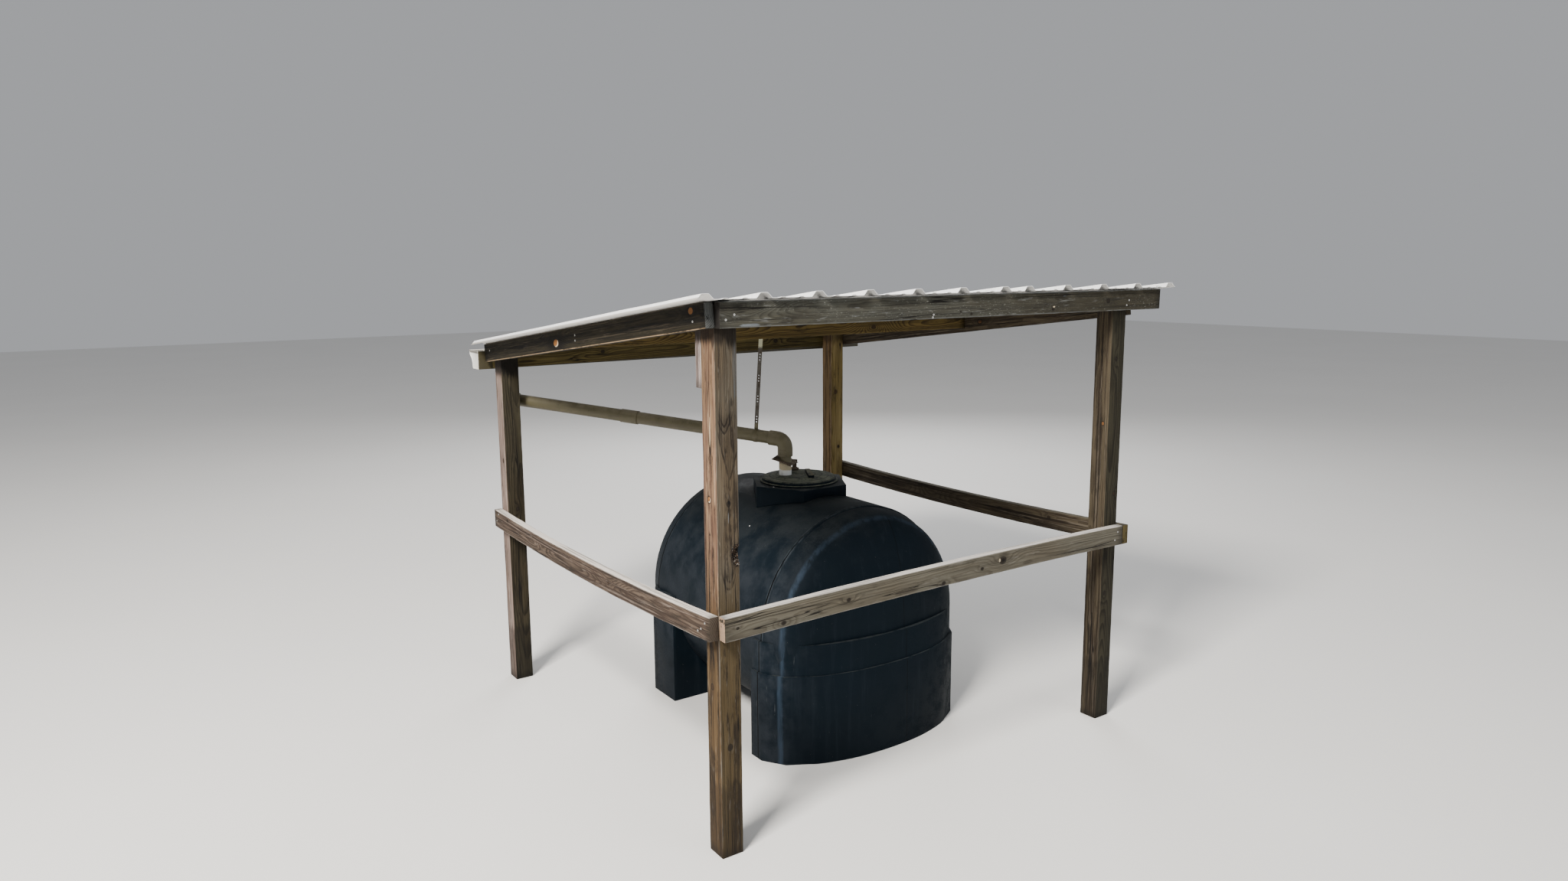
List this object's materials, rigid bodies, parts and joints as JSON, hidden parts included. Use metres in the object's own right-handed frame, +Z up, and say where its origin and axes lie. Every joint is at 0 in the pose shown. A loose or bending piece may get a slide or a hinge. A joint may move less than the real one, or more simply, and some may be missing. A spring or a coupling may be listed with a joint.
{
  "type": "rainwater catchment shelter",
  "caption": "Timber lean-to shelter with a ribbed metal roof whose gutter and drain pipe fill a horizontal leg tank standing under it.",
  "frame": {"origin": "middle of the whole object's footprint, at ground level", "axes": "+Z up, +Y from the high open side to the low side with the gutter, +X to the right seen from the high side"},
  "size_m": [2.5, 2.3548, 2.0236],
  "materials": {
    "brown_timber": "weathered, rough sawn",
    "grey_timber": "weathered grey",
    "roof_steel": "bright zinc and aluminium coating",
    "gutter_white": "white paint, dusty",
    "pipe_plastic": "stained and dusty",
    "strap_steel": "dull galvanised",
    "tank_plastic": "moulded, scuffed and dusty",
    "rubber_sheet": "matt"
  },
  "bodies": {
    "root": {"post_front_left": "brown_timber", "post_front_right": "grey_timber", "post_back_left": "brown_timber", "post_back_right": "brown_timber", "post_block": "grey_timber", "front_header": "grey_timber", "back_header": "brown_timber", "mid_purlin": "brown_timber", "left_rake": "grey_timber", "right_rake": "brown_timber", "left_rail": "grey_timber", "front_rail": "grey_timber", "right_rail": "brown_timber", "roof_sheet_left": "roof_steel", "roof_sheet_middle": "roof_steel", "roof_sheet_right": "roof_steel", "gutter_trough": "gutter_white", "gutter_cap_left": "gutter_white", "gutter_cap_right": "gutter_white", "gutter_hanger_1": "gutter_white", "gutter_hanger_2": "gutter_white", "gutter_hanger_3": "gutter_white", "gutter_hanger_4": "gutter_white", "gutter_outlet": "gutter_white", "drop_pipe": "pipe_plastic", "drop_elbow": "pipe_plastic", "run_pipe_upper": "pipe_plastic", "pipe_bell": "pipe_plastic", "run_pipe_lower": "pipe_plastic", "inlet_elbow": "pipe_plastic", "inlet_pipe": "pipe_plastic", "pipe_shield": "rubber_sheet", "hanger_strap": "strap_steel", "tank_barrel": "tank_plastic", "tank_front_end": "tank_plastic", "tank_back_end": "tank_plastic", "tank_front_leg": "tank_plastic", "tank_back_leg": "tank_plastic", "manway_collar": "tank_plastic", "tank_lid": "tank_plastic", "lid_grip": "tank_plastic", "lid_vent": "rubber_sheet"}
  },
  "joints": []
}
